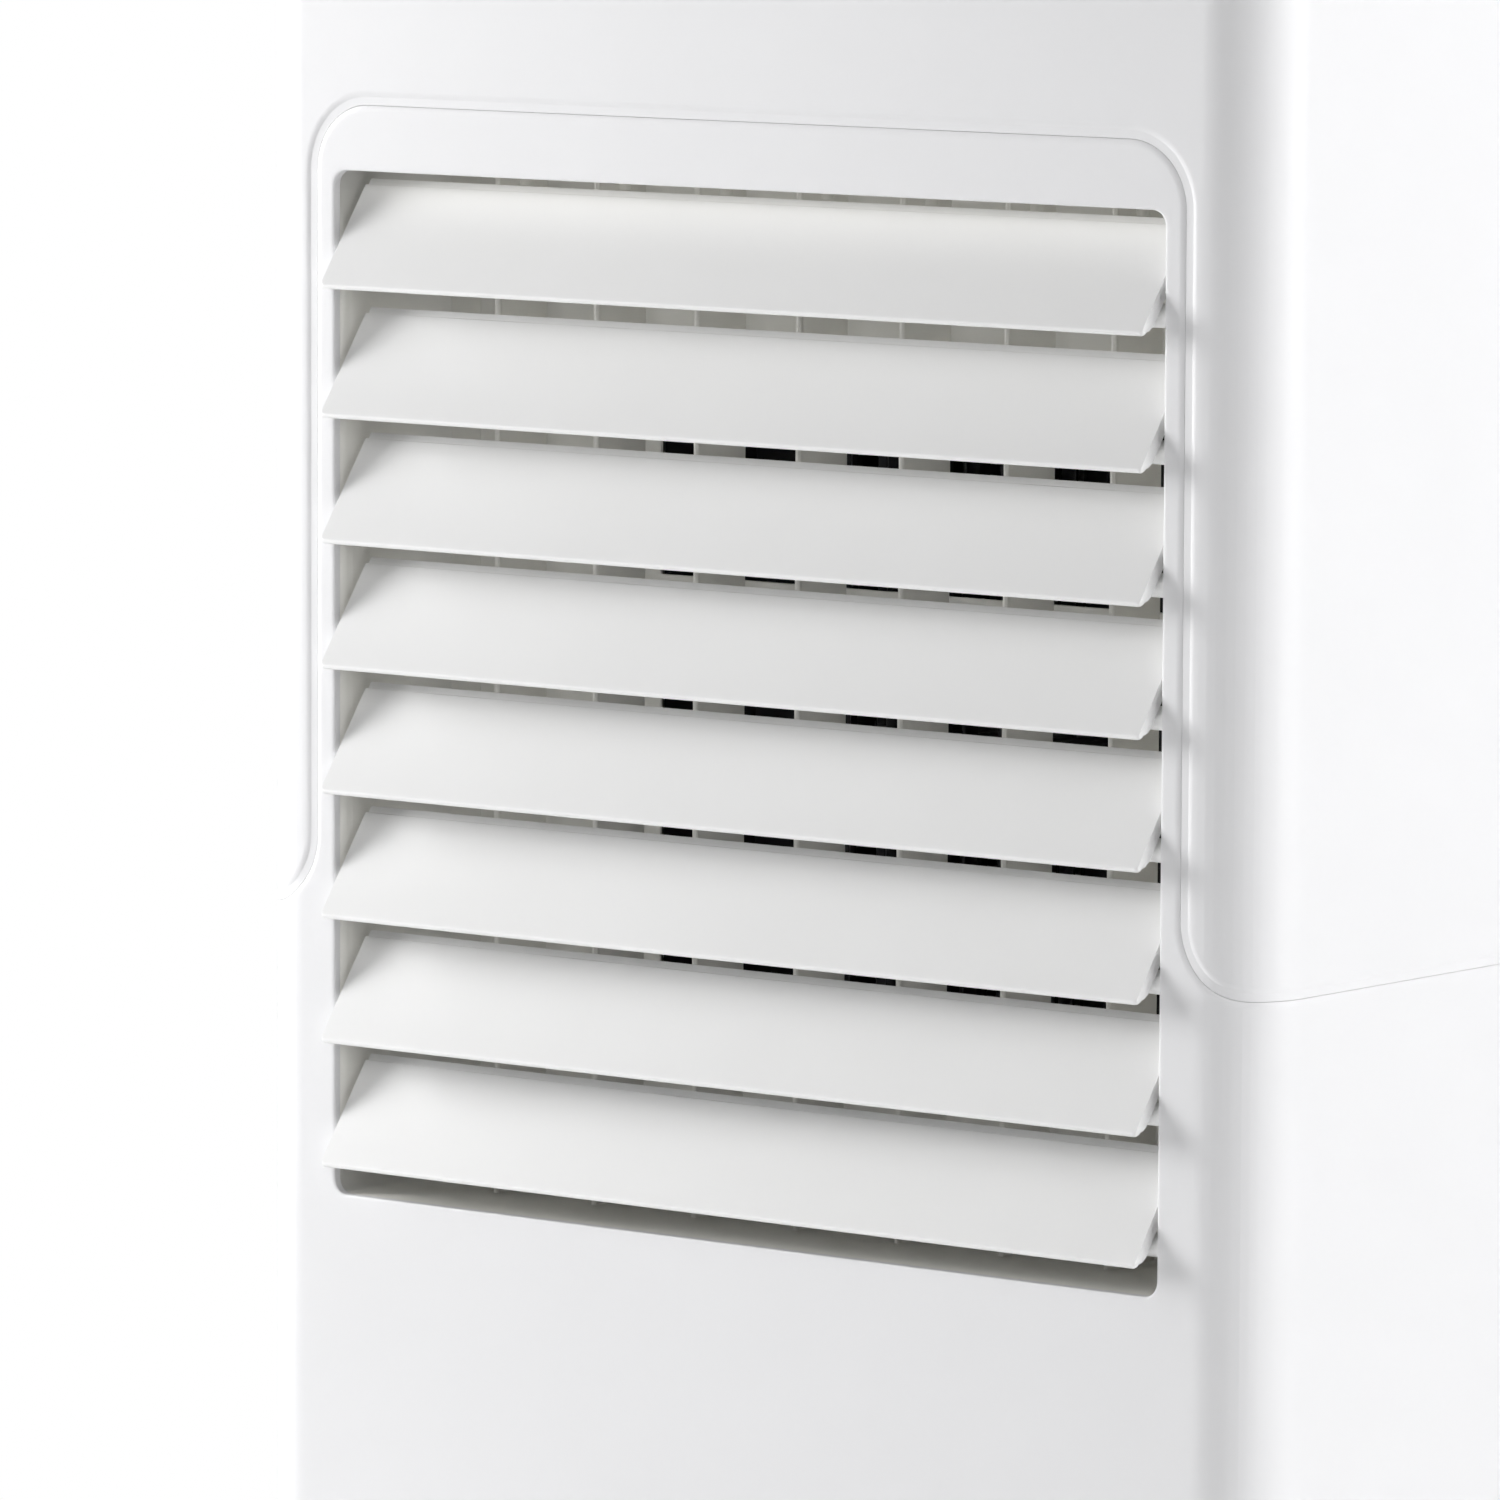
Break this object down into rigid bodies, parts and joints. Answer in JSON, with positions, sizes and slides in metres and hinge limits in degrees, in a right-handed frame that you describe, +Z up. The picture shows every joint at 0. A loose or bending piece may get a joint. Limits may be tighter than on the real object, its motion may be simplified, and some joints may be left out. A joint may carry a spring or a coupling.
{
  "type": "window air conditioner",
  "caption": "Upright window air conditioner: white casing, square outlet with linked level louvres and upright vanes, slide-out filter, steel outdoor half and side mounting angles.",
  "frame": {"origin": "on the floor under the middle of the unit's bounding box", "axes": "+X right as seen from the room, +Y out of the window, +Z up; the louvred front faces -Y"},
  "size_m": [0.416, 0.29, 0.7512],
  "materials": {
    "white_abs": "fine satin moulding, slightly warm white",
    "louvre_abs": "fine satin moulding, slightly greener white",
    "grey_abs": "matte warm grey moulding",
    "black_plastic": "matte black moulding",
    "filter_mesh": "woven nylon net in a moulded frame",
    "display": "glossy smoked window",
    "button_grey": "satin caps",
    "circuit_board": "green laminate",
    "galvanised": "galvanised sheet with spangle",
    "cabinet_paint": "powder coat, light beige grey",
    "coil_fins": "close-set fins with copper bends",
    "motor_steel": "black enamel",
    "copper": "bare copper tube",
    "rubber_black": "moulded rubber",
    "foam_grey": "closed-cell foam strip",
    "zinc_screw": "zinc plated, slightly dull",
    "capacitor_case": "drawn can"
  },
  "bodies": {
    "chassis": {"accumulator": "motor_steel", "base_pan": "galvanised", "blower_casing": "black_plastic", "blower_motor": "motor_steel", "bulkhead": "galvanised", "capillary_tube": "copper", "case_screws": "zinc_screw", "compressor": "motor_steel", "compressor_mounts": "rubber_black", "condenser_coil": "coil_fins", "condenser_motor": "motor_steel", "control_board": "circuit_board", "control_box": "galvanised", "control_fascia": "white_abs", "discharge_pipe": "copper", "display_lens": "display", "drain_spout": "black_plastic", "drain_tray": "grey_abs", "evaporator_coil": "coil_fins", "fan_shroud": "galvanised", "feet": "rubber_black", "filter_rails": "grey_abs", "front_panel": "white_abs", "intake_grille": "white_abs", "mounting_flanges": "galvanised", "outlet_duct": "grey_abs", "power_gland": "black_plastic", "rear_cabinet": "cabinet_paint", "rear_grille": "cabinet_paint", "run_capacitor": "capacitor_case", "suction_pipe": "copper", "swing_motor": "grey_abs", "upper_shell": "white_abs", "window_seals": "foam_grey"},
    "louvre_1": {"louvre_1": "louvre_abs"},
    "louvre_2": {"louvre_2": "louvre_abs"},
    "louvre_3": {"louvre_3": "louvre_abs"},
    "louvre_4": {"louvre_4": "louvre_abs"},
    "louvre_5": {"louvre_5": "louvre_abs"},
    "louvre_6": {"louvre_6": "louvre_abs"},
    "louvre_7": {"louvre_7": "louvre_abs"},
    "louvre_8": {"louvre_8": "louvre_abs"},
    "louvre_link": {"louvre_link": "grey_abs"},
    "vane_1": {"vane_1": "grey_abs"},
    "vane_2": {"vane_2": "grey_abs"},
    "vane_3": {"vane_3": "grey_abs"},
    "vane_4": {"vane_4": "grey_abs"},
    "vane_5": {"vane_5": "grey_abs"},
    "vane_6": {"vane_6": "grey_abs"},
    "vane_7": {"vane_7": "grey_abs"},
    "vane_link": {"vane_link": "grey_abs"},
    "button_power": {"button_power": "button_grey"},
    "button_mode": {"button_mode": "button_grey"},
    "button_fan_speed": {"button_fan_speed": "button_grey"},
    "button_cooler": {"button_cooler": "button_grey"},
    "button_warmer": {"button_warmer": "button_grey"},
    "air_filter": {"air_filter": "filter_mesh"},
    "blower": {"blower_rotor": "black_plastic", "blower_shaft": "galvanised"},
    "condenser_fan": {"condenser_fan": "black_plastic"}
  },
  "joints": [
    {"name": "louvre_1_tilt", "type": "hinge", "parent": "chassis", "child": "louvre_1", "pos_m": [0, -0.13105, 0.61115], "axis": [1, 0, 0], "range_deg": [-28, 18]},
    {"name": "louvre_2_tilt", "type": "hinge", "parent": "chassis", "child": "louvre_2", "pos_m": [0, -0.13105, 0.57415], "axis": [1, 0, 0], "range_deg": [-28, 18]},
    {"name": "louvre_3_tilt", "type": "hinge", "parent": "chassis", "child": "louvre_3", "pos_m": [0, -0.13105, 0.53805], "axis": [1, 0, 0], "range_deg": [-28, 18]},
    {"name": "louvre_4_tilt", "type": "hinge", "parent": "chassis", "child": "louvre_4", "pos_m": [0, -0.13105, 0.50195], "axis": [1, 0, 0], "range_deg": [-28, 18]},
    {"name": "louvre_5_tilt", "type": "hinge", "parent": "chassis", "child": "louvre_5", "pos_m": [0, -0.13105, 0.46585], "axis": [1, 0, 0], "range_deg": [-28, 18]},
    {"name": "louvre_6_tilt", "type": "hinge", "parent": "chassis", "child": "louvre_6", "pos_m": [0, -0.13105, 0.42975], "axis": [1, 0, 0], "range_deg": [-28, 18]},
    {"name": "louvre_7_tilt", "type": "hinge", "parent": "chassis", "child": "louvre_7", "pos_m": [0, -0.13105, 0.39365], "axis": [1, 0, 0], "range_deg": [-28, 18]},
    {"name": "louvre_8_tilt", "type": "hinge", "parent": "chassis", "child": "louvre_8", "pos_m": [0, -0.13105, 0.35755], "axis": [1, 0, 0], "range_deg": [-28, 18]},
    {"name": "louvre_link_pivot", "type": "hinge", "parent": "louvre_1", "child": "louvre_link", "pos_m": [-0.1543, -0.12132, 0.60413], "axis": [1, 0, 0], "range_deg": [-18, 28]},
    {"name": "vane_1_turn", "type": "hinge", "parent": "chassis", "child": "vane_1", "pos_m": [-0.1095, -0.09705, 0.492], "axis": [0, 0, 1], "range_deg": [-32, 32]},
    {"name": "vane_2_turn", "type": "hinge", "parent": "chassis", "child": "vane_2", "pos_m": [-0.073, -0.09705, 0.492], "axis": [0, 0, 1], "range_deg": [-32, 32]},
    {"name": "vane_3_turn", "type": "hinge", "parent": "chassis", "child": "vane_3", "pos_m": [-0.0365, -0.09705, 0.492], "axis": [0, 0, 1], "range_deg": [-32, 32]},
    {"name": "vane_4_turn", "type": "hinge", "parent": "chassis", "child": "vane_4", "pos_m": [0, -0.09705, 0.492], "axis": [0, 0, 1], "range_deg": [-32, 32]},
    {"name": "vane_5_turn", "type": "hinge", "parent": "chassis", "child": "vane_5", "pos_m": [0.0365, -0.09705, 0.492], "axis": [0, 0, 1], "range_deg": [-32, 32]},
    {"name": "vane_6_turn", "type": "hinge", "parent": "chassis", "child": "vane_6", "pos_m": [0.073, -0.09705, 0.492], "axis": [0, 0, 1], "range_deg": [-32, 32]},
    {"name": "vane_7_turn", "type": "hinge", "parent": "chassis", "child": "vane_7", "pos_m": [0.1095, -0.09705, 0.492], "axis": [0, 0, 1], "range_deg": [-32, 32]},
    {"name": "vane_link_pivot", "type": "hinge", "parent": "vane_1", "child": "vane_link", "pos_m": [-0.1095, -0.08705, 0.6468], "axis": [0, 0, 1], "range_deg": [-32, 32]},
    {"name": "button_power_press", "type": "slide", "parent": "chassis", "child": "button_power", "axis": [0, 0, -1], "range_m": [0, 0.0018], "stiffness_N_per_m": 250, "springref_m": -0.001},
    {"name": "button_mode_press", "type": "slide", "parent": "chassis", "child": "button_mode", "axis": [0, 0, -1], "range_m": [0, 0.0018], "stiffness_N_per_m": 250, "springref_m": -0.001},
    {"name": "button_fan_speed_press", "type": "slide", "parent": "chassis", "child": "button_fan_speed", "axis": [0, 0, -1], "range_m": [0, 0.0018], "stiffness_N_per_m": 250, "springref_m": -0.001},
    {"name": "button_cooler_press", "type": "slide", "parent": "chassis", "child": "button_cooler", "axis": [0, 0, -1], "range_m": [0, 0.0018], "stiffness_N_per_m": 250, "springref_m": -0.001},
    {"name": "button_warmer_press", "type": "slide", "parent": "chassis", "child": "button_warmer", "axis": [0, 0, -1], "range_m": [0, 0.0018], "stiffness_N_per_m": 250, "springref_m": -0.001},
    {"name": "filter_slide", "type": "slide", "parent": "chassis", "child": "air_filter", "axis": [1, 0, 0], "range_m": [0, 0.31]},
    {"name": "blower_spin", "type": "hinge", "parent": "chassis", "child": "blower", "pos_m": [0.018, -0.0293, 0.48], "axis": [0, 0, 1], "continuous": true},
    {"name": "fan_spin", "type": "hinge", "parent": "chassis", "child": "condenser_fan", "pos_m": [0, 0.088, 0.5], "axis": [0, 1, 0], "continuous": true}
  ],
  "couplings": [
    {"joint": "louvre_2_tilt", "follows": "louvre_1_tilt", "ratio": 1},
    {"joint": "louvre_3_tilt", "follows": "louvre_1_tilt", "ratio": 1},
    {"joint": "louvre_4_tilt", "follows": "louvre_1_tilt", "ratio": 1},
    {"joint": "louvre_5_tilt", "follows": "louvre_1_tilt", "ratio": 1},
    {"joint": "louvre_6_tilt", "follows": "louvre_1_tilt", "ratio": 1},
    {"joint": "louvre_7_tilt", "follows": "louvre_1_tilt", "ratio": 1},
    {"joint": "louvre_8_tilt", "follows": "louvre_1_tilt", "ratio": 1},
    {"joint": "louvre_link_pivot", "follows": "louvre_1_tilt", "ratio": -1},
    {"joint": "vane_2_turn", "follows": "vane_1_turn", "ratio": 1},
    {"joint": "vane_3_turn", "follows": "vane_1_turn", "ratio": 1},
    {"joint": "vane_4_turn", "follows": "vane_1_turn", "ratio": 1},
    {"joint": "vane_5_turn", "follows": "vane_1_turn", "ratio": 1},
    {"joint": "vane_6_turn", "follows": "vane_1_turn", "ratio": 1},
    {"joint": "vane_7_turn", "follows": "vane_1_turn", "ratio": 1},
    {"joint": "vane_link_pivot", "follows": "vane_1_turn", "ratio": -1}
  ]
}
